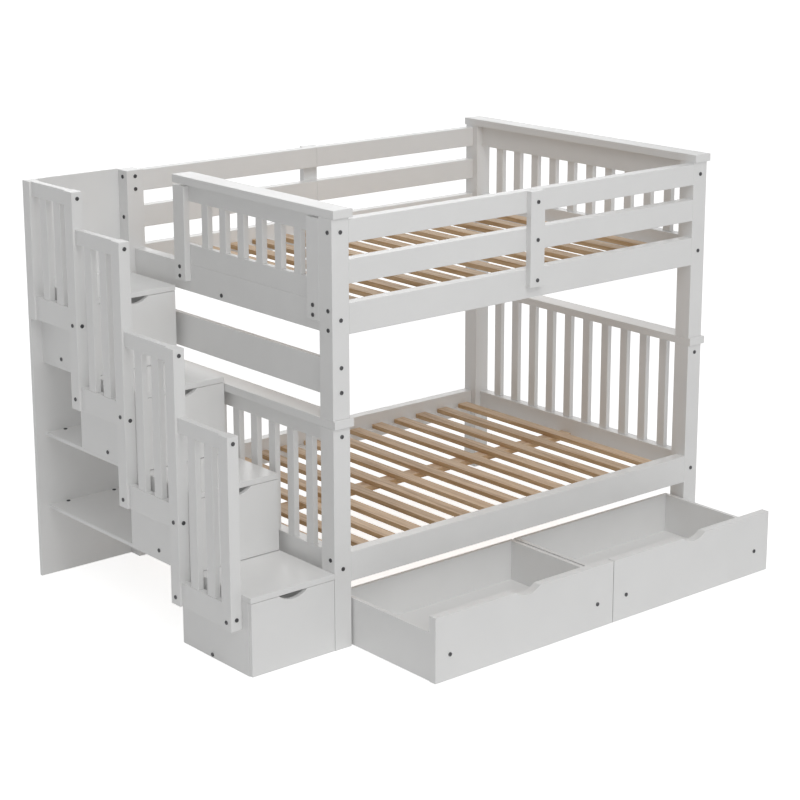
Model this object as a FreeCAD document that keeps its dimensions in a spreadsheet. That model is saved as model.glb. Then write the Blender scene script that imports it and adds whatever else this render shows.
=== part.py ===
import FreeCAD
import Part
import Sketcher
import os
import re

# Bunk bed with storage stairs.
# Frame: origin on the floor in the middle of the front left post's foot, +X along the bed towards
# the right hand end, +Y towards the wall side, +Z up. The stairs stand at negative X.
# Below, places are counted from that post's outer front corner; place() moves them to the origin.
# Every size is in millimetres and lives in the sheet below; every piece reads it from there.

SIZES = {
    # Bed as a whole
    "bed_length": 2030,
    "bed_width": 1453,
    "post_side": 80,
    "lower_post_height": 886,
    "post_above_guard": 8,
    "edge_round": 2,
    "panel_round": 1,
    "joint_gap": 0.3,
    # Caps on the posts
    "cap_height": 33,
    "cap_width": 92,
    "cap_overhang": 10,
    "right_cap_outset": 11,
    "left_top_cap_cover": 3,
    # Side rails, guard rails and battens
    "rail_thickness": 50,
    "rail_height": 119,
    "rail_base": 267,
    "upper_rail_rise": 324,
    "guard_middle_rise": 193,
    "guard_middle_height": 92,
    "guard_top_rise": 348,
    "guard_top_height": 88,
    "guard_half_gap": 0.5,
    "batten_width": 76,
    "batten_thickness": 28,
    "batten_rise": 47,
    # Ends of the bed
    "end_rail_depth": 50,
    "end_rail_height": 115,
    "end_board_thickness": 24,
    "end_slat_thickness": 24,
    "end_slat_width": 43,
    "end_slat_margin": 88,
    "end_slat_count": 10,
    "left_top_rail_height": 67,
    "right_top_rail_height": 97,
    "gap_board_rise": 83,
    "gap_board_height": 140,
    # Low panel beside the entry to the upper bed
    "stile_thickness": 28,
    "stile_width": 76,
    "stile_rise": 47,
    "entry_width": 336,
    "panel_rail_height": 82,
    "panel_top_rail_height": 71,
    "panel_slat_count": 6,
    "panel_slat_front_gap": 69,
    "panel_slat_rear_gap": 84,
    # Slatted bases
    "ledge_width": 20,
    "ledge_height": 28,
    "ledge_drop": 48,
    "deck_slat_width": 58,
    "deck_slat_thickness": 20,
    "deck_slat_count": 14,
    "deck_left_margin": 29,
    "deck_right_margin": 33,
    "deck_end_clearance": 5,
    "beam_width": 64,
    "beam_height": 25,
    "beam_shift": 46.5,
    # Stairs
    "stair_width": 394,
    "stair_gap": 0.5,
    "first_step_height": 315,
    "top_step_rise": 20,
    "tread_thickness": 22,
    "step_count": 4,
    "run_one": 350,
    "run_two": 352,
    "run_three": 331,
    "module_one_tuck": 102,
    "module_two_tuck": 98,
    "module_three_tuck": 122,
    "side_thickness": 15,
    "shelf_thickness": 15,
    "back_thickness": 15,
    "plinth_gap": 5,
    # Stair guard
    "guard_depth": 50,
    "guard_post_width": 60,
    "guard_rear_post_width": 38,
    "guard_slat_thickness": 25,
    "guard_slat_width": 50,
    "guard_slat_count": 2,
    "guard_rail_thickness": 30,
    "guard_top_rail_height": 60,
    "guard_bottom_rail_height": 97,
    "guard_first_setback": 57,
    "guard_setback": 43,
    "guard_one_drop": 139,
    "guard_two_drop": 153,
    "guard_three_drop": 144,
    "guard_four_drop": 145,
    "guard_one_rise": 615,
    "guard_two_rise": 562,
    "guard_three_rise": 595,
    "guard_four_rise": 427,
    # Drawers in the stairs
    "front_thickness": 18,
    "drawer_side_thickness": 12,
    "drawer_bottom_thickness": 6,
    "drawer_bottom_rise": 10,
    "drawer_side_clearance": 3,
    "drawer_foot_clearance": 0.5,
    "drawer_head_clearance": 30,
    "drawer_rear_clearance": 20,
    "front_reveal": 2,
    "runner_width": 24,
    "notch_width": 130,
    "notch_depth": 24,
    # Drawers under the bed
    "underbed_reveal": 5,
    "underbed_middle_gap": 4,
    "underbed_head_gap": 4,
    "underbed_side_height": 193,
    "underbed_wall": 18,
    "underbed_front_thickness": 36,
    "underbed_depth": 586,
    "underbed_pulled_out": 488,
    "underbed_floor_gap": 3,
    "underbed_bottom_rise": 18,
    "wheel_radius": 10,
    "wheel_width": 14,
    "wheel_inset": 70,
    "wheel_side_gap": 2,
    "axle_radius": 2,
    "axle_clearance": 0.05,
    "axle_length": 20,
    # Bolts
    "bolt_head_radius": 8,
    "bolt_head_height": 2.5,
    "bolt_socket_radius": 4,
    "bolt_socket_depth": 1.5,
    "rail_bolt_spread": 37,
    "gap_board_bolt_spread": 48,
    "entry_bolt_spread": 27,
    "wall_bolt_inset": 48,
    "wall_bolt_lift": 25,
    "guard_bolt_drop": 27,
    "guard_bolt_rise": 32,
    "guard_three_bolt_lift": 12,
    "guard_first_bolt_rise": 12,
    "shelf_bolt_inset": 84,
    "shelf_bolt_margin": 14,
    "underbed_bolt_left": 71,
    "underbed_bolt_right": 86,
}

doc = FreeCAD.newDocument("bunk_bed")
sheet = doc.addObject("Spreadsheet::Sheet", "Sizes")
for row, (alias, size) in enumerate(SIZES.items(), start=1):
    sheet.set("A%d" % row, alias)
    sheet.set("B%d" % row, str(size))
    sheet.setAlias("B%d" % row, alias)
doc.recompute()

nodes = []


def formula(words):
    """Turn a sum written with the sheet's names into one that the document understands."""
    return re.sub(r"[a-z][a-z_]*", lambda found: "Sizes." + found.group(0), str(words))


def number(words):
    """The value of such a sum, in millimetres."""
    return float(sheet.evalExpression(formula(words)))


def count(alias):
    return int(number(alias))


def bind(piece, **sizes):
    for name, words in sizes.items():
        piece.setExpression(name, formula(words))


ORIGIN = (" - post_side / 2", " - post_side / 2", "")


def place(piece, x, y, z):
    """Put a piece at a point that is counted from the front left post's outer corner."""
    for axis, words, shift in zip("xyz", (x, y, z), ORIGIN):
        piece.setExpression("Placement.Base." + axis, formula(words + shift))


def node(name, pieces):
    """Name a finished sub-part; several boards of one kind stay separate solids of one group."""
    if len(pieces) == 1:
        part = pieces[0]
    else:
        part = doc.addObject("Part::Compound", name)
        part.Links = pieces
    part.Label = name
    nodes.append(part)
    return part


def board(name, start, size, rounding="edge_round"):
    """A straight board from its near lower left corner, with all its edges eased."""
    blank = doc.addObject("Part::Box", name + "_blank")
    bind(blank, Length=size[0], Width=size[1], Height=size[2])
    place(blank, *start)
    eased = doc.addObject("Part::Fillet", name)
    eased.Base = blank
    radius = number(rounding)
    eased.Edges = [(edge, radius, radius) for edge in range(1, 13)]
    return eased


def spaced(start, span, width, copies, margin="0"):
    """Starts of boards of one width that are spread evenly over a span, ends at the margins."""
    pitch = "(({0}) - 2 * ({1}) - ({2})) / ({3} - 1)".format(span, margin, width, copies)
    return ["({0}) + ({1}) + {2} * ({3})".format(start, margin, k, pitch) for k in range(count(copies))]


def between(start, span, width, copies):
    """Starts of boards of one width with equal gaps before, between and after them."""
    gap = "(({0}) - {1} * ({2})) / ({1} + 1)".format(span, copies, width)
    return ["({0}) + ({1}) + {2} * ({1} + ({3}))".format(start, gap, k, width) for k in range(count(copies))]


# ---------------------------------------------------------------- levels and lines shared below
RIGHT_POST = "(bed_length - post_side)"
REAR_POST = "(bed_width - post_side)"
REAR_RAIL = "(bed_width - rail_thickness)"
CLEAR_LENGTH = "(bed_length - 2 * post_side)"
CLEAR_WIDTH = "(bed_width - 2 * post_side)"
UPPER_BASE = "(lower_post_height + cap_height)"
UPPER_RAIL = "(%s + upper_rail_rise)" % UPPER_BASE
GUARD_TOP = "(%s + guard_top_rise + guard_top_height)" % UPPER_RAIL
POST_TOP = "(%s + post_above_guard)" % GUARD_TOP
LEFT_END = "(post_side / 2 - end_board_thickness / 2)"
LEFT_INSIDE = "(%s + end_rail_depth)" % LEFT_END
RIGHT_INSIDE = "(bed_length - end_rail_depth)"
LEFT_SLAT = "(post_side / 2 - end_slat_thickness / 2)"
RIGHT_SLAT = "(bed_length - end_rail_depth / 2 - end_slat_thickness / 2)"
BATTEN_BASE = "(%s + batten_rise)" % UPPER_RAIL
STILE_BASE = "(%s + stile_rise)" % UPPER_RAIL
GAP_BOARD_BASE = "(%s + gap_board_rise)" % UPPER_BASE
BEAM_FRONT = "(bed_width / 2 + beam_shift - beam_width / 2)"
DECKS = (("lower", "rail_base"), ("upper", UPPER_RAIL))


def make_posts():
    levels = (("lower", "0", "lower_post_height"), ("upper", UPPER_BASE, "%s - %s" % (POST_TOP, UPPER_BASE)))
    for depth, y in (("front", "0"), ("rear", REAR_POST)):
        for side, x in (("left", "0"), ("right", RIGHT_POST)):
            for level, z, height in levels:
                name = "post_%s_%s_%s" % (depth, side, level)
                node(name, [board(name, (x, y, z), ("post_side", "post_side", height))])


def make_caps():
    full = "(bed_width + 2 * cap_overhang)"
    short = "(cap_overhang + %s - entry_width + left_top_cap_cover)" % REAR_POST
    right = "(bed_length + right_cap_outset - cap_width)"
    caps = (
        ("cap_left_middle", "0", "lower_post_height", full),
        ("cap_right_middle", right, "lower_post_height", full),
        ("cap_left_top", "0", POST_TOP, short),
        ("cap_right_top", right, POST_TOP, full),
    )
    for name, x, z, length in caps:
        node(name, [board(name, (x, "0 - cap_overhang", z), ("cap_width", length, "cap_height"))])


def make_side_rails():
    for level, z in DECKS:
        for side, y in (("front", "0"), ("rear", REAR_RAIL)):
            name = "side_rail_%s_%s" % (side, level)
            node(name, [board(name, ("post_side", y, z), (CLEAR_LENGTH, "rail_thickness", "rail_height"))])


def make_guard_rails():
    """Two rails along each side of the upper bed, each in two halves that meet behind a batten."""
    half = "(%s / 2 - guard_half_gap / 2)" % CLEAR_LENGTH
    starts = ("post_side", "post_side + %s + guard_half_gap" % half)
    battens = []
    for side, y, batten_y in (("front", "0", "0 - batten_thickness"), ("rear", REAR_RAIL, "bed_width")):
        rails = []
        for level in ("middle", "top"):
            for half_name, x in zip(("left", "right"), starts):
                name = "guard_rail_%s_%s_%s" % (side, level, half_name)
                size = (half, "rail_thickness", "guard_%s_height" % level)
                rails.append(board(name, (x, y, "%s + guard_%s_rise" % (UPPER_RAIL, level)), size))
        node("guard_rails_" + side, rails)
        corner = ("bed_length / 2 - batten_width / 2", batten_y, BATTEN_BASE)
        size = ("batten_width", "batten_thickness", "%s - %s" % (GUARD_TOP, BATTEN_BASE))
        battens.append(board("guard_batten_" + side, corner, size))
    node("guard_battens", battens)


def slat_row(name, x, z, height):
    """Upright slats across one end of the bed."""
    starts = spaced("post_side", CLEAR_WIDTH, "end_slat_width", "end_slat_count", "end_slat_margin")
    size = ("end_slat_thickness", "end_slat_width", height)
    return [board("%s_%d" % (name, k + 1), (x, y, z), size) for k, y in enumerate(starts)]


def make_ends():
    rail_size = ("end_rail_depth", CLEAR_WIDTH, "end_rail_height")
    for level, z in DECKS:
        rails = [
            board("end_rail_left_" + level, (LEFT_END, "post_side", z), rail_size),
            board("end_rail_right_" + level, (RIGHT_INSIDE, "post_side", z), rail_size),
        ]
        node("end_rails_" + level, rails)

    left_top_rail = "(lower_post_height - left_top_rail_height)"
    right_top_rail = "(%s - right_top_rail_height)" % POST_TOP
    top_rails = [
        board("top_rail_" + name, (x, "post_side", z), (depth, CLEAR_WIDTH, height))
        for name, x, z, depth, height in (
            ("left_lower", LEFT_END, left_top_rail, "end_board_thickness", "left_top_rail_height"),
            ("right_upper", RIGHT_INSIDE, right_top_rail, "end_rail_depth", "right_top_rail_height"),
        )
    ]
    node("headboard_top_rails", top_rails)

    rail_top = "(rail_base + end_rail_height)"
    upper_rail_top = "(%s + end_rail_height)" % UPPER_RAIL
    rows = (
        ("headboard_slats_left_lower", LEFT_SLAT, rail_top, left_top_rail),
        ("headboard_slats_right_lower", RIGHT_SLAT, rail_top, "lower_post_height"),
        ("headboard_slats_right_upper", RIGHT_SLAT, upper_rail_top, right_top_rail),
    )
    for name, x, z, top in rows:
        node(name, slat_row(name, x, z, "%s - %s" % (top, z)))

    size = ("end_board_thickness", CLEAR_WIDTH, "gap_board_height")
    node("gap_board", [board("gap_board", (LEFT_END, "post_side", GAP_BOARD_BASE), size)])


def make_entry_panel():
    """Low panel on the left end of the upper bed; beside it the rail is open for climbing in."""
    base = "(%s + end_rail_height + joint_gap)" % UPPER_RAIL
    rear_stile = "(%s - entry_width - stile_width)" % REAR_POST
    length = "(%s + stile_width / 2 - post_side)" % rear_stile
    top_rail = "(%s - panel_top_rail_height)" % POST_TOP
    cross = ("end_board_thickness", length)
    frame = [
        board("panel_bottom_rail", (LEFT_END, "post_side", base), cross + ("panel_rail_height",)),
        board("panel_top_rail", (LEFT_END, "post_side", top_rail), cross + ("panel_top_rail_height",)),
    ]
    node("entry_panel_rails", frame)

    first_slat = "(post_side + stile_width + panel_slat_front_gap)"
    span = "(%s - panel_slat_rear_gap - %s)" % (rear_stile, first_slat)
    starts = spaced(first_slat, span, "end_slat_width", "panel_slat_count")
    slat_base = "(%s + panel_rail_height)" % base
    size = ("end_slat_thickness", "end_slat_width", "%s - %s" % (top_rail, slat_base))
    slats = [board("panel_slat_%d" % (k + 1), (LEFT_SLAT, y, slat_base), size) for k, y in enumerate(starts)]
    node("entry_panel_slats", slats)

    stile_size = ("stile_thickness", "stile_width", "%s - %s" % (GUARD_TOP, STILE_BASE))
    stile_x = "(%s - stile_thickness)" % LEFT_END
    stiles = [
        board("panel_stile_front", (stile_x, "post_side", STILE_BASE), stile_size),
        board("panel_stile_rear", (stile_x, rear_stile, STILE_BASE), stile_size),
    ]
    node("entry_panel_stiles", stiles)


def make_decks():
    """Pine slats across the bed on a ledge along each side rail, with a beam under them."""
    ledges = []
    beams = []
    span = "(%s - deck_left_margin - deck_right_margin)" % CLEAR_LENGTH
    starts = spaced("post_side + deck_left_margin", span, "deck_slat_width", "deck_slat_count")
    slat_length = "(bed_width - 2 * rail_thickness - 2 * deck_end_clearance)"
    for level, z in DECKS:
        seat = "(%s + ledge_drop)" % z
        for side, y in (("front", "rail_thickness"), ("rear", REAR_RAIL + " - ledge_width")):
            corner = ("post_side", y, seat + " - ledge_height")
            size = (CLEAR_LENGTH, "ledge_width", "ledge_height")
            ledges.append(board("ledge_%s_%s" % (side, level), corner, size))
        size = ("deck_slat_width", slat_length, "deck_slat_thickness")
        name = "deck_slats_" + level
        y = "rail_thickness + deck_end_clearance"
        node(name, [board("%s_%d" % (name, k + 1), (x, y, seat), size) for k, x in enumerate(starts)])
        corner = (LEFT_INSIDE, BEAM_FRONT, seat + " - beam_height")
        length = "%s - %s" % (RIGHT_INSIDE, LEFT_INSIDE)
        beams.append(board("centre_beam_" + level, corner, (length, "beam_width", "beam_height")))
    node("slat_ledges", ledges)
    node("centre_beams", beams)


# ---------------------------------------------------------------- stairs
FRONTS = ("0", "run_one", "(run_one + run_two)", "(run_one + run_two + run_three)")
BACK_PANEL = "(bed_width - back_thickness)"
REARS = (
    "(%s + module_one_tuck)" % FRONTS[1],
    "(%s + module_two_tuck)" % FRONTS[2],
    "(%s + module_three_tuck)" % FRONTS[3],
    BACK_PANEL,
)
STAIR_LEFT = "(0 - stair_width)"
STAIR_INSIDE = "(stair_width - stair_gap)"
STEP_RISE = "((%s + top_step_rise - first_step_height) / (step_count - 1))" % UPPER_RAIL


def tread_top(step):
    """Height of a step; the steps are numbered from 0 at the bottom."""
    return "(first_step_height + %d * %s)" % (step, STEP_RISE)


def tread_base(step):
    return "(%s - tread_thickness)" % tread_top(step)


def module_floor(step):
    """Upper face of the board that a module of the stairs stands on."""
    if step == 0:
        return "0"
    return "(%s + shelf_thickness)" % tread_base(step - 1)


def drawer_floor(step):
    """Underside of a step's drawer, which clears the tread in front of it as it slides out."""
    if step == 0:
        return "(plinth_gap + shelf_thickness + drawer_foot_clearance)"
    return "(%s + front_reveal)" % tread_top(step - 1)


def drawer_rear(step):
    """Line that a step's drawer and its runners end before."""
    if step + 1 == count("step_count"):
        return BACK_PANEL
    return "(%s - back_thickness)" % REARS[step]


def runners(step):
    """Strips on a shelf, along both sides of a module, that carry its drawer."""
    start = "(%s + front_thickness + joint_gap)" % FRONTS[step]
    floor = module_floor(step)
    size = (
        "runner_width",
        "%s - %s" % (drawer_rear(step), start),
        "%s - drawer_foot_clearance - %s" % (drawer_floor(step), floor),
    )
    outer = STAIR_LEFT + " + side_thickness"
    inner = "0 - stair_gap - side_thickness - runner_width"
    return [
        board("runner_%s_%d" % (side, step + 1), (x, start, floor), size, "panel_round")
        for side, x in (("outer", outer), ("inner", inner))
    ]


def make_stair_modules():
    sides = []
    treads = []
    shelves = []
    backs = []
    inner_x = "(0 - stair_gap - side_thickness)"
    inner_width = "(%s - 2 * side_thickness)" % STAIR_INSIDE
    for step in range(count("step_count")):
        front = "(%s + front_thickness + joint_gap)" % FRONTS[step]
        floor = module_floor(step)
        top = tread_base(step)
        side_size = ("side_thickness", "%s - %s" % (REARS[step], front), "%s - %s" % (top, floor))
        for name, x in (("outer", STAIR_LEFT), ("inner", inner_x)):
            corner = (x, front, floor)
            sides.append(board("stair_side_%s_%d" % (name, step + 1), corner, side_size, "panel_round"))
        last = step + 1 == count("step_count")
        tread_end = BACK_PANEL if last else FRONTS[step + 1]
        tread_size = (STAIR_INSIDE, "%s - %s" % (tread_end, FRONTS[step]), "tread_thickness")
        treads.append(board("tread_%d" % (step + 1), (STAIR_LEFT, FRONTS[step], top), tread_size))
        if step > 0:
            shelf_size = (STAIR_INSIDE, "%s - %s" % (BACK_PANEL, FRONTS[step]), "shelf_thickness")
            corner = (STAIR_LEFT, FRONTS[step], tread_base(step - 1))
            shelves.append(board("shelf_%d" % step, corner, shelf_size, "panel_round"))
            shelves.extend(runners(step))
        if not last:
            corner = (STAIR_LEFT + " + side_thickness", drawer_rear(step), floor)
            size = (inner_width, "back_thickness", "%s - %s" % (top, floor))
            backs.append(board("module_back_%d" % (step + 1), corner, size, "panel_round"))
    bottom_y = "front_thickness + joint_gap"
    bottom_size = (inner_width, "%s - (%s)" % (drawer_rear(0), bottom_y), "shelf_thickness")
    corner = (STAIR_LEFT + " + side_thickness", bottom_y, "plinth_gap")
    node("stair_sides", sides)
    node("stair_treads", treads)
    node("stair_shelves", [board("module_bottom", corner, bottom_size, "panel_round")] + shelves)
    node("stair_module_backs", backs)
    size = ("stair_width + guard_depth", "back_thickness", guard_top(3))
    corner = (STAIR_LEFT + " - guard_depth", BACK_PANEL, "0")
    node("stair_back_panel", [board("stair_back_panel", corner, size, "panel_round")])


BAYS = ("one", "two", "three", "four")
GUARD_OUTER = "(0 - stair_width - guard_depth)"


def guard_front(bay):
    """Near face of the post at the front of a bay; the bays are numbered like the steps."""
    return "(%s + %s)" % (FRONTS[bay], "guard_setback" if bay else "guard_first_setback")


def guard_base(bay):
    return "(%s - guard_%s_drop)" % (tread_top(bay), BAYS[bay])


def guard_top(bay):
    return "(%s + guard_%s_rise)" % (tread_top(bay), BAYS[bay])


def make_stair_guard():
    """Posts outside the steps, with a slatted bay between each post and the next one behind it."""
    rail_x = "(%s + guard_depth / 2 - guard_rail_thickness / 2)" % GUARD_OUTER
    slat_x = "(%s + guard_depth / 2 - guard_slat_thickness / 2)" % GUARD_OUTER
    rear_post = "(%s - guard_rear_post_width)" % BACK_PANEL
    posts = []
    rails = []
    slats = []
    for bay in range(len(BAYS)):
        foot = guard_base(max(bay - 1, 0))
        front = guard_front(bay)
        size = ("guard_depth", "guard_post_width", "%s - %s" % (guard_top(bay), foot))
        posts.append(board("guard_post_%d" % (bay + 1), (GUARD_OUTER, front, foot), size))
        start = "(%s + guard_post_width)" % front
        end = rear_post if bay + 1 == len(BAYS) else guard_front(bay + 1)
        span = "(%s - %s)" % (end, start)
        top_rail = "(%s - guard_top_rail_height)" % guard_top(bay)
        for name, z in (("top", top_rail), ("bottom", guard_base(bay))):
            size = ("guard_rail_thickness", span, "guard_%s_rail_height" % name)
            rails.append(board("guard_%s_rail_%d" % (name, bay + 1), (rail_x, start, z), size))
        slat_base = "(%s + guard_bottom_rail_height)" % guard_base(bay)
        size = ("guard_slat_thickness", "guard_slat_width", "%s - %s" % (top_rail, slat_base))
        for n, y in enumerate(between(start, span, "guard_slat_width", "guard_slat_count")):
            slats.append(board("guard_slat_%d_%d" % (bay + 1, n + 1), (slat_x, y, slat_base), size))
    size = ("guard_depth", "guard_rear_post_width", "%s - %s" % (guard_top(3), guard_base(3)))
    posts.append(board("guard_post_rear", (GUARD_OUTER, rear_post, guard_base(3)), size))
    node("stair_guard_posts", posts)
    node("stair_guard_rails", rails)
    node("stair_guard_slats", slats)


# ---------------------------------------------------------------- drawers
def rectangle(sketch, width, height):
    across, upright = number(width), number(height)
    corners = [FreeCAD.Vector(x, y) for x, y in ((0, 0), (across, 0), (across, upright), (0, upright))]
    for k in range(4):
        sketch.addGeometry(Part.LineSegment(corners[k], corners[k - 3]), False)
    for k in range(4):
        sketch.addConstraint(Sketcher.Constraint("Coincident", k, 2, (k + 1) % 4, 1))
    for line, kind in ((0, "Horizontal"), (1, "Vertical"), (2, "Horizontal"), (3, "Vertical")):
        sketch.addConstraint(Sketcher.Constraint(kind, line))
    sketch.addConstraint(Sketcher.Constraint("Coincident", 0, 1, -1, 1))
    for constraint, words in (
        (Sketcher.Constraint("DistanceX", 0, 1, 0, 2, across), width),
        (Sketcher.Constraint("DistanceY", 1, 1, 1, 2, upright), height),
    ):
        index = sketch.addConstraint(constraint)
        sketch.setExpression("Constraints[%d]" % index, formula(words))


def notch_circle(sketch, width, height):
    """One circle whose lower arc is the finger notch in the upper edge of a drawer front."""
    radius = "((notch_width * notch_width / 4 + notch_depth * notch_depth) / (2 * notch_depth))"
    middle = "(%s) / 2" % width
    centre = "(%s) + %s - notch_depth" % (height, radius)
    point = FreeCAD.Vector(number(middle), number(centre), 0)
    sketch.addGeometry(Part.Circle(point, FreeCAD.Vector(0, 0, 1), number(radius)), False)
    constraints = (
        (Sketcher.Constraint("Radius", 0, number(radius)), radius),
        (Sketcher.Constraint("DistanceX", -1, 1, 0, 3, number(middle)), middle),
        (Sketcher.Constraint("DistanceY", -1, 1, 0, 3, number(centre)), centre),
    )
    for constraint, words in constraints:
        index = sketch.addConstraint(constraint)
        sketch.setExpression("Constraints[%d]" % index, formula(words))


def upright_sketch(body, name):
    """A sketch on the body's own upright plane: across is X and up is Z."""
    plane = [item for item in body.Origin.OriginFeatures if item.Role == "XZ_Plane"][0]
    sketch = body.newObject("Sketcher::SketchObject", name)
    sketch.AttachmentSupport = [(plane, "")]
    sketch.MapMode = "FlatFace"
    return sketch


def drawer_front(name, corner, width, height, thickness):
    """An upright board with eased edges and a shallow round notch for the fingers in its top."""
    body = doc.addObject("PartDesign::Body", name)
    outline = upright_sketch(body, name + "_outline")
    rectangle(outline, width, height)
    pad = body.newObject("PartDesign::Pad", name + "_pad")
    pad.Profile = outline
    pad.Reversed = True
    pad.setExpression("Length", formula(thickness))
    doc.recompute()
    eased = body.newObject("PartDesign::Fillet", name + "_eased")
    eased.Base = (pad, [""])
    eased.UseAllEdges = True
    eased.setExpression("Radius", formula("panel_round"))
    doc.recompute()
    notch = upright_sketch(body, name + "_notch")
    notch_circle(notch, width, height)
    pocket = body.newObject("PartDesign::Pocket", name + "_pocket")
    pocket.Profile = notch
    pocket.Type = "ThroughAll"
    pocket.Midplane = True
    body.Tip = pocket
    doc.recompute()
    if pocket.Shape.Volume > 0.999 * eased.Shape.Volume:
        raise RuntimeError("the notch cuts nothing from " + name)
    place(body, *corner)
    return body


def drawer_box(name, corner, size, wall, bottom_rise):
    """Two sides, a back and a bottom; the front closes the near end."""
    x, y, z = corner
    width, depth, height = size
    side = (wall, depth, height)
    left = "%s + %s" % (x, wall)
    right = "%s + %s - %s" % (x, width, wall)
    inside = "(%s - 2 * %s)" % (width, wall)
    back_y = "%s + %s - %s" % (y, depth, wall)
    bottom = (inside, "%s - %s" % (depth, wall), "drawer_bottom_thickness")
    pieces = [
        board(name + "_left", (x, y, z), side, "panel_round"),
        board(name + "_right", (right, y, z), side, "panel_round"),
        board(name + "_back", (left, back_y, z), (inside, wall, height), "panel_round"),
        board(name + "_bottom", (left, y, "%s + %s" % (z, bottom_rise)), bottom, "panel_round"),
    ]
    node(name, pieces)


def make_stair_drawers():
    front_width = "(%s - 2 * front_reveal)" % STAIR_INSIDE
    box_x = "(%s + side_thickness + drawer_side_clearance)" % STAIR_LEFT
    box_width = "(%s - 2 * side_thickness - 2 * drawer_side_clearance)" % STAIR_INSIDE
    for step in range(count("step_count")):
        name = "stair_drawer_%d" % (step + 1)
        front_z = "front_reveal" if step == 0 else drawer_floor(step)
        front_height = "(%s - front_reveal - %s)" % (tread_base(step), front_z)
        corner = (STAIR_LEFT + " + front_reveal", FRONTS[step], front_z)
        size = (front_width, front_height, "front_thickness")
        node(name + "_front", [drawer_front(name + "_front", corner, *size)])
        box_y = "(%s + front_thickness)" % FRONTS[step]
        box_z = drawer_floor(step)
        size = (
            box_width,
            "(%s - drawer_rear_clearance - %s)" % (drawer_rear(step), box_y),
            "(%s - drawer_head_clearance - %s)" % (tread_base(step), box_z),
        )
        drawer_box(name + "_box", (box_x, box_y, box_z), size, "drawer_side_thickness", "drawer_bottom_rise")


def wheel(name, x, y):
    """A hard roller with a bore that runs on its axle."""
    tyre = doc.addObject("Part::Cylinder", name + "_tyre")
    bind(tyre, Radius="wheel_radius", Height="wheel_width")
    bore = doc.addObject("Part::Cylinder", name + "_bore")
    bind(bore, Radius="axle_radius + axle_clearance", Height="wheel_width")
    for cylinder in (tyre, bore):
        turn_to_x(cylinder)
        place(cylinder, x, y, "wheel_radius")
    rolled = doc.addObject("Part::Cut", name)
    rolled.Base = tyre
    rolled.Tool = bore
    return rolled


def turn_to_x(cylinder):
    cylinder.Placement = FreeCAD.Placement(FreeCAD.Vector(), FreeCAD.Rotation(FreeCAD.Vector(0, 1, 0), 90))


def axle(name, x, y):
    pin = doc.addObject("Part::Cylinder", name)
    bind(pin, Radius="axle_radius", Height="axle_length")
    turn_to_x(pin)
    place(pin, x, y, "wheel_radius")
    return pin


def make_underbed_drawers(head):
    width = "((%s - 2 * underbed_reveal - underbed_middle_gap) / 2)" % CLEAR_LENGTH
    height = "(rail_base - underbed_floor_gap - underbed_head_gap)"
    starts = (
        "(post_side + underbed_reveal)",
        "(post_side + underbed_reveal + %s + underbed_middle_gap)" % width,
    )
    front_y = "(0 - underbed_pulled_out)"
    box_y = "(%s + underbed_front_thickness)" % front_y
    depth = "(underbed_depth - underbed_front_thickness)"
    box_width = "(%s - 2 * drawer_side_clearance)" % width
    lines = (("front", "%s + wheel_inset" % box_y), ("rear", "%s + %s - wheel_inset" % (box_y, depth)))
    for k, x in enumerate(starts):
        name = "underbed_drawer_%d" % (k + 1)
        corner = (x, front_y, "underbed_floor_gap")
        size = (width, height, "underbed_front_thickness")
        node(name + "_front", [drawer_front(name + "_front", corner, *size)])
        corner = ("(%s + drawer_side_clearance)" % x, box_y, "underbed_floor_gap")
        size = (box_width, depth, "underbed_side_height")
        drawer_box(name + "_box", corner, size, "underbed_wall", "underbed_bottom_rise")
        inner_left = "(%s + underbed_wall)" % corner[0]
        inner_right = "(%s + %s - underbed_wall)" % (corner[0], box_width)
        fixings = []
        for line, y in lines:
            left = wheel("%s_wheel_left_%s" % (name, line), inner_left + " + wheel_side_gap", y)
            right_x = inner_right + " - wheel_side_gap - wheel_width"
            right = wheel("%s_wheel_right_%s" % (name, line), right_x, y)
            node("%s_wheels_%s" % (name, line), [left, right])
            fixings.append(axle("%s_axle_left_%s" % (name, line), inner_left, y))
            fixings.append(axle("%s_axle_right_%s" % (name, line), inner_right + " - axle_length", y))
        fixings.append(bolts(name + "_bolts", head, underbed_bolts(x, width, height)))
        node(name + "_fixings", fixings)


# ---------------------------------------------------------------- bolts
FACES = {
    "front": FreeCAD.Rotation(FreeCAD.Vector(1, 0, 0), 90),
    "left": FreeCAD.Rotation(FreeCAD.Vector(0, 1, 0), -90),
    "right": FreeCAD.Rotation(FreeCAD.Vector(0, 1, 0), 90),
    "rear": FreeCAD.Rotation(FreeCAD.Vector(1, 0, 0), -90),
    "up": FreeCAD.Rotation(),
}


def bolt_head():
    """Round head with a six-sided socket, standing on the face that it clamps."""
    head = doc.addObject("Part::Cylinder", "bolt_head_blank")
    bind(head, Radius="bolt_head_radius", Height="bolt_head_height")
    socket = doc.addObject("Part::Prism", "bolt_socket")
    socket.Polygon = 6
    bind(socket, Circumradius="bolt_socket_radius", Height="bolt_socket_depth")
    socket.setExpression("Placement.Base.z", formula("bolt_head_height - bolt_socket_depth"))
    cut = doc.addObject("Part::Cut", "bolt_head")
    cut.Base = head
    cut.Tool = socket
    doc.recompute()
    return cut.Shape


def bolts(name, head, spots):
    heads = []
    for face, x, y, z in spots:
        copy = head.copy()
        spot = [number(words + shift) for words, shift in zip((x, y, z), ORIGIN)]
        copy.Placement = FreeCAD.Placement(FreeCAD.Vector(*spot), FACES[face])
        heads.append(copy)
    group = doc.addObject("Part::Feature", name)
    group.Shape = Part.makeCompound(heads)
    return group


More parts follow.
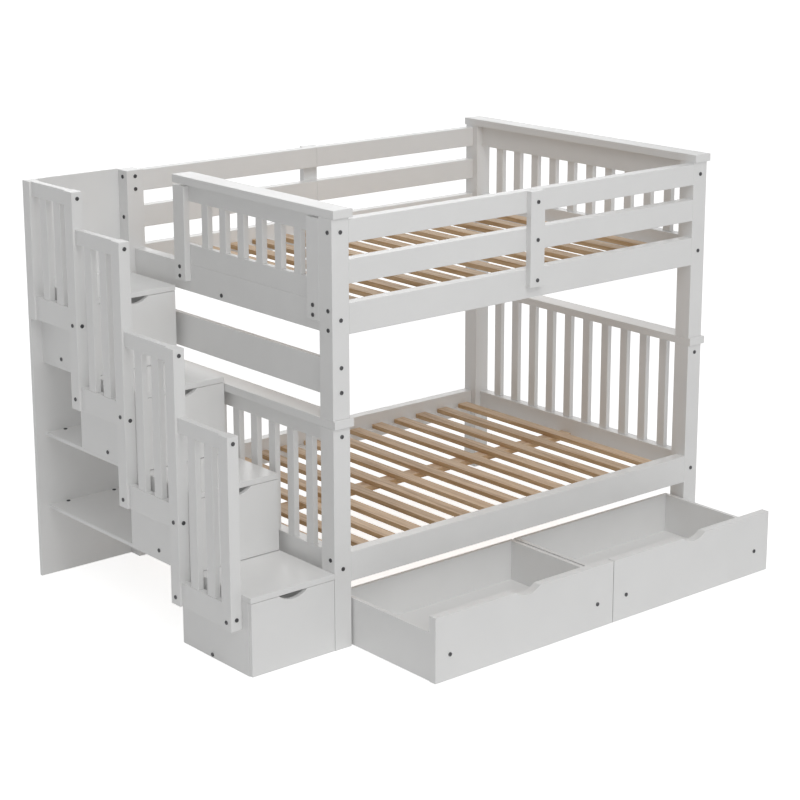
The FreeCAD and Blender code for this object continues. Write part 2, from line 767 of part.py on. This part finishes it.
def bed_bolts():
    middle = {
        "lower": "(rail_base + rail_height / 2)",
        "upper": "(%s + rail_height / 2)" % UPPER_RAIL,
        "gap": "(%s + gap_board_height / 2)" % GAP_BOARD_BASE,
        "head": "(lower_post_height - left_top_rail_height / 2)",
        "guard": "(%s + guard_top_rise + guard_top_height / 2)" % UPPER_RAIL,
        "guard_low": "(%s + guard_middle_rise + guard_middle_height / 2)" % UPPER_RAIL,
    }
    spots = []
    left_line = "post_side / 2"
    right_line = "bed_length - post_side / 2"
    for face, y in (("front", "0"), ("rear", "bed_width")):
        for level in ("lower", "upper", "head", "guard"):
            for x in (left_line, right_line):
                spots.append((face, x, y, middle[level]))
        for sign in ("-", "+"):
            spots.append((face, left_line, y, "%s %s gap_board_bolt_spread" % (middle["gap"], sign)))
    for y in ("rail_thickness / 2", "bed_width - rail_thickness / 2"):
        for level in ("lower", "upper"):
            for sign in ("-", "+"):
                spots.append(("right", "bed_length", y, "%s %s rail_bolt_spread" % (middle[level], sign)))
        for level in ("guard", "guard_low"):
            spots.append(("right", "bed_length", y, middle[level]))
    spots.append(("left", "0", "rail_thickness / 2", middle["guard"]))
    for level, lift in (("guard", "wall_bolt_lift"), ("guard_low", "wall_bolt_lift / 3")):
        spots.append(("left", "0", "bed_width - wall_bolt_inset", "%s + %s" % (middle[level], lift)))
    for level, sign in (("lower", "+"), ("upper", "-"), ("upper", "+")):
        spots.append(("left", "0", "rail_thickness / 2", "%s %s rail_bolt_spread" % (middle[level], sign)))
    for sign in ("-", "+"):
        spots.append(("front", left_line, REAR_POST, "%s %s entry_bolt_spread" % (middle["guard"], sign)))
    for face, y in (("front", "0 - batten_thickness"), ("rear", "bed_width + batten_thickness")):
        for level in ("guard", "guard_low"):
            spots.append((face, "bed_length / 2", y, middle[level]))
        spots.append((face, "bed_length / 2", y, BATTEN_BASE + " + batten_thickness"))
    stile_x = LEFT_END + " - stile_thickness"
    rear_stile = "(%s - entry_width - stile_width / 2)" % REAR_POST
    for y in ("post_side + stile_width / 2", rear_stile):
        for rise in ("stile_width / 4", "stile_width * 3 / 4"):
            spots.append(("left", stile_x, y, "%s + %s" % (STILE_BASE, rise)))
    beam_line = "%s + ledge_drop - beam_height" % UPPER_RAIL
    spots.append(("left", LEFT_END, BEAM_FRONT + " + bolt_head_radius", beam_line))
    return spots


def stair_bolts():
    line = "(%s + guard_depth / 2)" % GUARD_OUTER
    low = [guard_base(bay) + " + guard_bolt_rise" for bay in range(len(BAYS))]
    beside = low[:2] + [low[2] + " + guard_three_bolt_lift", low[3]]
    spots = []
    for bay in range(len(BAYS)):
        front = guard_front(bay)
        first_rise = " + guard_first_bolt_rise" if bay == 0 else ""
        spots.append(("front", line, front, guard_top(bay) + " - guard_bolt_drop"))
        spots.append(("front", line, front, low[bay] + first_rise))
        for height in beside[max(bay - 1, 0):bay + 1]:
            spots.append(("left", GUARD_OUTER, front + " + guard_post_width / 2", height))
    for step, front in enumerate(FRONTS):
        if step == 0:
            height = "plinth_gap + shelf_thickness / 2"
        else:
            height = tread_top(step - 1) + " + bolt_head_radius * 5 / 2"
        spots.append(("left", STAIR_LEFT, front + " + stair_width * 13 / 20", height))
    for step in (1, 2):
        for x in (STAIR_LEFT + " + shelf_bolt_inset", "0 - shelf_bolt_inset"):
            spots.append(("up", x, BACK_PANEL + " - shelf_bolt_margin", module_floor(step)))
    return spots


def underbed_bolts(start, width, height):
    y = "(0 - underbed_pulled_out)"
    z = height + " * 2 / 5"
    return [
        ("front", start + " + underbed_bolt_left", y, z),
        ("front", "%s + %s - underbed_bolt_right" % (start, width), y, z),
    ]


def export(folder):
    os.makedirs(folder, exist_ok=True)
    doc.recompute()
    for item in doc.Objects:
        if "Invalid" in item.State or "Error" in item.State:
            raise RuntimeError("%s did not compute: %s" % (item.Label, item.State))
    for part in nodes:
        if part.Shape.isNull() or not part.Shape.isValid():
            raise RuntimeError("%s has no valid shape" % part.Label)
    for part in nodes:
        part.Shape.exportStep("%s/%s.step" % (folder, part.Label))
    print("%d sub-parts, %d solids" % (len(nodes), sum(len(part.Shape.Solids) for part in nodes)))


make_posts()
make_caps()
make_side_rails()
make_guard_rails()
make_ends()
make_entry_panel()
make_decks()
make_stair_modules()
make_stair_guard()
make_stair_drawers()
bolt = bolt_head()
make_underbed_drawers(bolt)
node("bolts", [bolts("bolts", bolt, bed_bolts() + stair_bolts())])
export("parts")
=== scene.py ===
# %% [markdown]
# # A white bunk bed with storage stairs
#
# The bed comes in as finished solids: posts, rails, slats, steps, drawers and bolts, each at its
# real size. Nothing is modelled anew: this lesson gives them their surfaces and sets up the
# floor, the light and the camera. The first cell loads the solids.

# %% Load the bed
import math

import bpy
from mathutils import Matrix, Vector

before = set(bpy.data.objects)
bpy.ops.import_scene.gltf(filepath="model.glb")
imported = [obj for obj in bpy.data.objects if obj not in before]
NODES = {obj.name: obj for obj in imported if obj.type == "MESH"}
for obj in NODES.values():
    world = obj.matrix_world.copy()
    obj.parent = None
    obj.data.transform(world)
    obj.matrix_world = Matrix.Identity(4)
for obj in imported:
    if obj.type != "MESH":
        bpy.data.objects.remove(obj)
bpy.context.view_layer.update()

# %% [markdown]
# ## Building a finish from nodes
#
# Every finish below is a small tree of shader nodes. A helper that adds one node and wires its
# inputs keeps each tree short enough to read: a number sets a socket, and another node's output
# is linked to it.

# %% A helper for shader nodes


def new_finish(name):
    """An empty finish and the three nodes that each one starts from."""
    finish = bpy.data.materials.new(name)
    finish.use_nodes = True
    tree = finish.node_tree
    shader = tree.nodes["Principled BSDF"]
    place = tree.nodes.new("ShaderNodeTexCoord").outputs["Object"]
    return finish, tree, shader, place


def add(tree, kind, **inputs):
    """Add one node; names are input sockets, and 'set_' names are settings of the node itself."""
    node = tree.nodes.new(kind)
    for name, value in inputs.items():
        if name.startswith("set_"):
            setattr(node, name[4:], value)
    for name, value in inputs.items():
        if name.startswith("set_"):
            continue
        socket = node.inputs[int(name[1:])] if name[0] == "_" else node.inputs[name.replace("_", " ")]
        if isinstance(value, bpy.types.NodeSocket):
            tree.links.new(value, socket)
        else:
            socket.default_value = value
    return node


def ramp(tree, value, *stops):
    """A colour ramp through (place, colour) stops."""
    node = tree.nodes.new("ShaderNodeValToRGB")
    tree.links.new(value, node.inputs[0])
    elements = node.color_ramp.elements
    while len(elements) < len(stops):
        elements.new(1.0)
    for element, (place, colour) in zip(elements, stops):
        element.position = place
        element.color = (*colour, 1.0)
    return node.outputs[0]


def level(tree, value, low, high):
    """Stretch a pattern's 0 to 1 into a range, for roughness."""
    return add(tree, "ShaderNodeMapRange", Value=value, To_Min=low, To_Max=high).outputs[0]


# %% [markdown]
# ## White satin paint
#
# The posts, rails and slats are sprayed with a satin white. Sprayed paint isn't a flat white: it
# dries with a faint orange peel, its gloss varies from place to place, and the grain of the wood
# below shows through as very shallow ripples. Three noises of different scales do that. The
# ripples are stretched along Z by a Mapping node for upright boards and along X for the rails.

# %% The paint
WHITE = (0.80, 0.80, 0.795)
WHITE_SHADE = (0.775, 0.775, 0.77)
SATIN_ROUGHNESS = (0.36, 0.50)
GRAIN_RELIEF = 0.12


def make_paint(name, along):
    """Satin paint over wood whose grain runs along one axis."""
    finish, tree, shader, place = new_finish(name)
    stretch = {"x": (3.0, 60.0, 60.0), "y": (60.0, 3.0, 60.0), "z": (60.0, 60.0, 3.0)}[along]
    grain_place = add(tree, "ShaderNodeMapping", Vector=place, Scale=stretch).outputs[0]
    grain = add(tree, "ShaderNodeTexNoise", Vector=grain_place, Scale=1.0, Detail=6.0, Roughness=0.6)
    cloud = add(tree, "ShaderNodeTexNoise", Vector=place, Scale=5.0, Detail=3.0, Roughness=0.5)
    peel = add(tree, "ShaderNodeTexNoise", Vector=place, Scale=420.0, Detail=2.0, Roughness=0.5)
    colour = ramp(tree, cloud.outputs[0], (0.30, WHITE_SHADE), (0.70, WHITE))
    rough = level(tree, cloud.outputs[0], *SATIN_ROUGHNESS)
    ripple = add(tree, "ShaderNodeBump", Height=grain.outputs[0], Strength=GRAIN_RELIEF, Distance=0.0008)
    skin = add(tree, "ShaderNodeBump", Height=peel.outputs[0], Strength=0.08, Distance=0.0003)
    tree.links.new(ripple.outputs[0], skin.inputs["Normal"])
    tree.links.new(colour, shader.inputs["Base Color"])
    tree.links.new(rough, shader.inputs["Roughness"])
    tree.links.new(skin.outputs[0], shader.inputs["Normal"])
    shader.inputs["Coat Weight"].default_value = 0.15
    shader.inputs["Coat Roughness"].default_value = 0.25
    return finish


paint_x = make_paint("white_paint_along_x", "x")
paint_y = make_paint("white_paint_along_y", "y")
paint_z = make_paint("white_paint_along_z", "z")
print("paints:", paint_x.name, paint_y.name, paint_z.name)

# %% [markdown]
# ## Bare pine
#
# The slats are planed pine with no finish. Each one is cut from another plank, so its tone differs:
# the place along the bed is cut into steps as wide as the slats' spacing, and each step picks its
# own tone. The growth rings are bands pulled out of shape by a noise, stretched along the slat. Light
# from above is painted into the colour as well: the normal's Z makes whatever faces up paler and
# brighter, a painted top light that leaves the sides a warmer brown.

# %% The pine
PINE_PITCH = 0.1346
PINE_LIGHT = (0.64, 0.44, 0.26)
PINE_DARK = (0.47, 0.30, 0.16)
PINE_PALE = (0.70, 0.51, 0.33)


def make_pine(name, along):
    finish, tree, shader, place = new_finish(name)
    apart = add(tree, "ShaderNodeSeparateXYZ", Vector=place)
    across = apart.outputs[0] if along == "y" else apart.outputs[2]
    plank = add(tree, "ShaderNodeMath", set_operation="DIVIDE", _0=across, _1=PINE_PITCH).outputs[0]
    plank = add(tree, "ShaderNodeMath", set_operation="FLOOR", _0=plank).outputs[0]
    tone = add(tree, "ShaderNodeTexWhiteNoise", set_noise_dimensions="1D", W=plank)
    shift = add(tree, "ShaderNodeVectorMath", set_operation="SCALE", _0=tone.outputs["Color"], Scale=7.0)
    moved = add(tree, "ShaderNodeVectorMath", set_operation="ADD", _0=place, _1=shift.outputs[0]).outputs[0]
    stretch = (22.0, 1.1, 22.0) if along == "y" else (1.1, 22.0, 22.0)
    ring_place = add(tree, "ShaderNodeMapping", Vector=moved, Scale=stretch).outputs[0]
    rings = add(tree, "ShaderNodeTexNoise", Vector=ring_place, Scale=1.6, Detail=4.0, Roughness=0.55,
                Distortion=1.2)
    fine_place = add(tree, "ShaderNodeMapping", Vector=moved, Scale=tuple(12 * s for s in stretch)).outputs[0]
    fibre = add(tree, "ShaderNodeTexNoise", Vector=fine_place, Scale=1.0, Detail=5.0, Roughness=0.65)
    wood = ramp(tree, rings.outputs[0], (0.32, PINE_DARK), (0.50, PINE_LIGHT), (0.62, PINE_PALE))
    streak = ramp(tree, fibre.outputs[0], (0.35, (0.82, 0.82, 0.82)), (0.65, (1.0, 1.0, 1.0)))
    wood = add(tree, "ShaderNodeMix", set_data_type="RGBA", set_blend_type="MULTIPLY", Factor=1.0,
               _6=wood, _7=streak)
    # Painted light from above: faces that point up get a lifted value and less saturated colour than the
    # sides.
    normal = tree.nodes.new("ShaderNodeNewGeometry").outputs["Normal"]
    upward = add(tree, "ShaderNodeSeparateXYZ", Vector=normal).outputs[2]
    value = level(tree, tone.outputs["Value"], 0.92, 1.06)
    painted_top_light = level(tree, upward, 0.98, 1.12)
    value = add(tree, "ShaderNodeMath", set_operation="MULTIPLY", _0=value, _1=painted_top_light).outputs[0]
    painted_top_desaturation = level(tree, upward, 1.08, 0.84)
    toned = add(tree, "ShaderNodeHueSaturation", Saturation=painted_top_desaturation, Value=value, Color=wood.outputs[2])
    bump = add(tree, "ShaderNodeBump", Height=fibre.outputs[0], Strength=0.25, Distance=0.0006)
    tree.links.new(toned.outputs[0], shader.inputs["Base Color"])
    tree.links.new(level(tree, fibre.outputs[0], 0.55, 0.75), shader.inputs["Roughness"])
    tree.links.new(bump.outputs[0], shader.inputs["Normal"])
    return finish


pine_across = make_pine("pine_slats", "y")
pine_along = make_pine("pine_beam", "x")
print("pine:", pine_across.name, pine_along.name)

# %% [markdown]
# ## Blackened steel and rollers
#
# The bolt heads are blackened steel, a little uneven in gloss. The rollers are dull plastic.

# %% The small parts' finishes


def make_steel():
    finish, tree, shader, place = new_finish("blackened_steel")
    cloud = add(tree, "ShaderNodeTexNoise", Vector=place, Scale=180.0, Detail=3.0)
    tree.links.new(ramp(tree, cloud.outputs[0], (0.3, (0.06, 0.06, 0.063)), (0.7, (0.13, 0.13, 0.135))),
                   shader.inputs["Base Color"])
    tree.links.new(level(tree, cloud.outputs[0], 0.30, 0.55), shader.inputs["Roughness"])
    shader.inputs["Metallic"].default_value = 0.8
    return finish


def make_roller_plastic():
    finish, tree, shader, place = new_finish("roller_plastic")
    cloud = add(tree, "ShaderNodeTexNoise", Vector=place, Scale=260.0, Detail=2.0)
    tree.links.new(ramp(tree, cloud.outputs[0], (0.3, (0.02, 0.02, 0.02)), (0.7, (0.045, 0.045, 0.045))),
                   shader.inputs["Base Color"])
    tree.links.new(level(tree, cloud.outputs[0], 0.45, 0.7), shader.inputs["Roughness"])
    return finish


steel = make_steel()
roller = make_roller_plastic()
print("small parts:", steel.name, roller.name)

# %% [markdown]
# ## Which piece gets which finish
#
# A board's grain runs along its length, so the paint's ripples follow the way each piece lies. The
# names of the solids say which way that is: what isn't listed stands upright.

# %% Give each solid its finish
ALONG_X = ("side_rail", "guard_rails", "stair_treads", "stair_drawer", "underbed_drawer", "stair_shelves")
ALONG_Y = ("cap_", "end_rails", "headboard_top", "gap_board", "entry_panel_rails", "stair_guard_rails",
           "slat_ledges")


def finish_for(name):
    if name.startswith("deck_slats"):
        return pine_across
    if name == "centre_beams":
        return pine_along
    if name == "bolts" or name.endswith("_fixings"):
        return steel
    if "_wheels_" in name:
        return roller
    if name.startswith(ALONG_X):
        return paint_x
    if name.startswith(ALONG_Y):
        return paint_y
    return paint_z


for name, solid in NODES.items():
    solid.data.materials.clear()
    solid.data.materials.append(finish_for(name))
print("finished", len(NODES), "solids")

# %% [markdown]
# ## Floor, light and camera
#
# The bed stands on a plain white sheet, which glows a little for the camera and in reflections, so
# that it stays white and still keeps the bed's soft shadow. It doesn't light the bed, because the
# Light Path node keeps that glow off diffuse rays. The light has four parts, as in a studio: an even
# light from all round, one large softbox to the front left and above, which makes the fronts
# brighter than the ends, a broad sun and a fill from the front, and a weaker fill from behind. The
# fills cast no shadow, so that the recesses of the stairs stay open and the back isn't dark.

# %% The white floor
FLOOR_SIZE = 60.0
FLOOR_GLOW = 0.60


def background_rays(tree):
    """1 for each ray that shows the background: straight to the camera, in a gloss or through glass."""
    rays = add(tree, "ShaderNodeLightPath").outputs
    straight, gloss, through = (rays["Is %s Ray" % kind] for kind in ("Camera", "Glossy", "Transmission"))
    shown = add(tree, "ShaderNodeMath", set_operation="MAXIMUM", _0=straight, _1=gloss)
    return add(tree, "ShaderNodeMath", set_operation="MAXIMUM", _0=shown.outputs[0], _1=through).outputs[0]


bpy.ops.object.select_all(action="DESELECT")
bpy.ops.mesh.primitive_plane_add(size=FLOOR_SIZE, location=(0.0, 0.0, 0.0))
floor = bpy.context.object
floor.name = "studio_floor"
sheet, tree, shader, place = new_finish("studio_floor")
shader.inputs["Base Color"].default_value = (0.9, 0.9, 0.9, 1.0)
shader.inputs["Roughness"].default_value = 0.9
glow = add(tree, "ShaderNodeEmission", Color=(1.0, 1.0, 1.0, 1.0), Strength=FLOOR_GLOW)
both = add(tree, "ShaderNodeAddShader")
tree.links.new(shader.outputs[0], both.inputs[0])
tree.links.new(glow.outputs[0], both.inputs[1])
choose = add(tree, "ShaderNodeMixShader")
tree.links.new(background_rays(tree), choose.inputs[0])
tree.links.new(shader.outputs[0], choose.inputs[1])
tree.links.new(both.outputs[0], choose.inputs[2])
tree.links.new(choose.outputs[0], tree.nodes["Material Output"].inputs["Surface"])
floor.data.materials.append(sheet)
print("floor:", floor.name, "side", FLOOR_SIZE, "m, glow", FLOOR_GLOW)

# %% The light
scene = bpy.context.scene
AROUND = 0.39
SOFTBOX_SIDE = 3.0
SOFTBOX_POWER = 60.0
SUN_BREADTH = math.radians(40.0)
world = bpy.data.worlds.new("studio")
scene.world = world
world.use_nodes = True
sky = world.node_tree
around = sky.nodes["Background"]
around.inputs["Color"].default_value = (1.0, 1.0, 1.0, 1.0)
around.inputs["Strength"].default_value = AROUND
behind = add(sky, "ShaderNodeBackground", Color=(1.0, 1.0, 1.0, 1.0), Strength=1.0)
choose = add(sky, "ShaderNodeMixShader")
sky.links.new(background_rays(sky), choose.inputs[0])
sky.links.new(around.outputs[0], choose.inputs[1])
sky.links.new(behind.outputs[0], choose.inputs[2])
sky.links.new(choose.outputs[0], sky.nodes["World Output"].inputs["Surface"])

SOFTBOX_PLACE = Vector((-0.4, -3.2, 5.2))
SOFTBOX_AIM = Vector((0.9, 0.6, 1.2))
bpy.ops.object.light_add(type="AREA", location=SOFTBOX_PLACE)
softbox = bpy.context.object
softbox.name = "softbox"
softbox.data.size = SOFTBOX_SIDE
softbox.data.energy = SOFTBOX_POWER
softbox.rotation_euler = (SOFTBOX_PLACE - SOFTBOX_AIM).to_track_quat("Z", "Y").to_euler()


def add_sun(name, direction, energy, shadow):
    """A broad sun; the direction points from the bed to the light."""
    bpy.ops.object.light_add(type="SUN", location=direction * 8)
    sun = bpy.context.object
    sun.name = name
    sun.data.energy = energy
    sun.data.angle = SUN_BREADTH
    sun.data.use_shadow = shadow
    sun.rotation_euler = direction.to_track_quat("Z", "Y").to_euler()


FROM_FRONT = Vector((-0.067, -0.473, 0.374))
add_sun("front_sun", FROM_FRONT, 0.26, shadow=True)
add_sun("front_fill", FROM_FRONT, 0.34, shadow=False)
add_sun("rear_fill", Vector((0.5, 1.0, 0.3)), 0.5, shadow=False)

# %% [markdown]
# The camera stands to the front left, a little above the upper bed, and looks down by 14 degrees.
# A long lens keeps the perspective gentle; the small shift frames the whole bed.

# %% The camera
CAMERA_PLACE = Vector((-4.5985, -5.8895, 3.1300))
CAMERA_HEADING = math.radians(40.24)
CAMERA_DIP = math.radians(13.95)
LENS = 93.11
bpy.ops.object.camera_add(location=CAMERA_PLACE)
camera = bpy.context.object
camera.name = "camera"
camera.rotation_euler = (math.pi / 2 - CAMERA_DIP, 0.0, -CAMERA_HEADING)
camera.data.lens = LENS
camera.data.sensor_width = 36.0
camera.data.shift_x = -0.0168
camera.data.shift_y = -0.0929
camera.data.clip_end = 100.0
scene.camera = camera
scene.view_settings.view_transform = "Standard"
print("camera at", tuple(CAMERA_PLACE), "lens", LENS, "mm")
